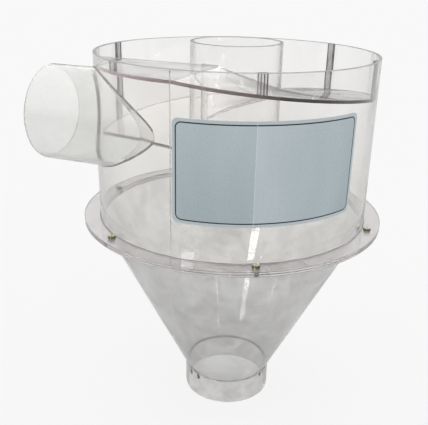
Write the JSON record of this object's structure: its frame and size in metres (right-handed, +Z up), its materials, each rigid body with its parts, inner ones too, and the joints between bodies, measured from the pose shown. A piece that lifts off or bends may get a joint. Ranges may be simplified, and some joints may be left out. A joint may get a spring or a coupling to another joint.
{
  "type": "cyclone separator",
  "caption": "Small clear-plastic cyclone dust separator: open-topped barrel with a tangential inlet, spiral roof and central outlet tube, flanged to a cone with a bottom port.",
  "frame": {"origin": "centre of the dust outlet's lower edge, on the axis of barrel and cone", "axes": "+Z up along the axis towards the clean-air outlet; -Y is the front with the label, and the inlet leaves towards -X, turned 20.4 degrees to +Y"},
  "size_m": [0.3739, 0.335, 0.423],
  "materials": {
    "clear_sheet": "clear, bent from sheet and glued",
    "clear_tube": "clear extruded tube with cut ends",
    "roof_sheet": "clear sheet with darker cut edges",
    "flange_sheet": "clear sheet, cut and drilled",
    "clear_bar": "clear strip, sawn ends",
    "label_film": "printed film, satin, blank",
    "zinc_screw": "zinc plated with a yellow tint",
    "zinc_nut": "zinc plated, dull"
  },
  "bodies": {
    "root": {"barrel": "clear_sheet", "inlet_tube": "clear_tube", "spiral_roof": "roof_sheet", "inlet_guide": "roof_sheet", "outlet_tube": "clear_tube", "barrel_flange": "flange_sheet", "cone_flange": "flange_sheet", "cone": "clear_sheet", "dust_outlet": "clear_tube", "label": "label_film", "flange_screw_1": "zinc_screw", "flange_nut_1": "zinc_nut", "flange_screw_2": "zinc_screw", "flange_nut_2": "zinc_nut", "flange_screw_3": "zinc_screw", "flange_nut_3": "zinc_nut", "flange_screw_4": "zinc_screw", "flange_nut_4": "zinc_nut", "flange_screw_5": "zinc_screw", "flange_nut_5": "zinc_nut", "flange_screw_6": "zinc_screw", "flange_nut_6": "zinc_nut", "rim_post_1": "clear_bar", "rim_post_2": "clear_bar", "rim_post_3": "clear_bar", "rim_post_4": "clear_bar", "rim_post_5": "clear_bar"}
  },
  "joints": []
}
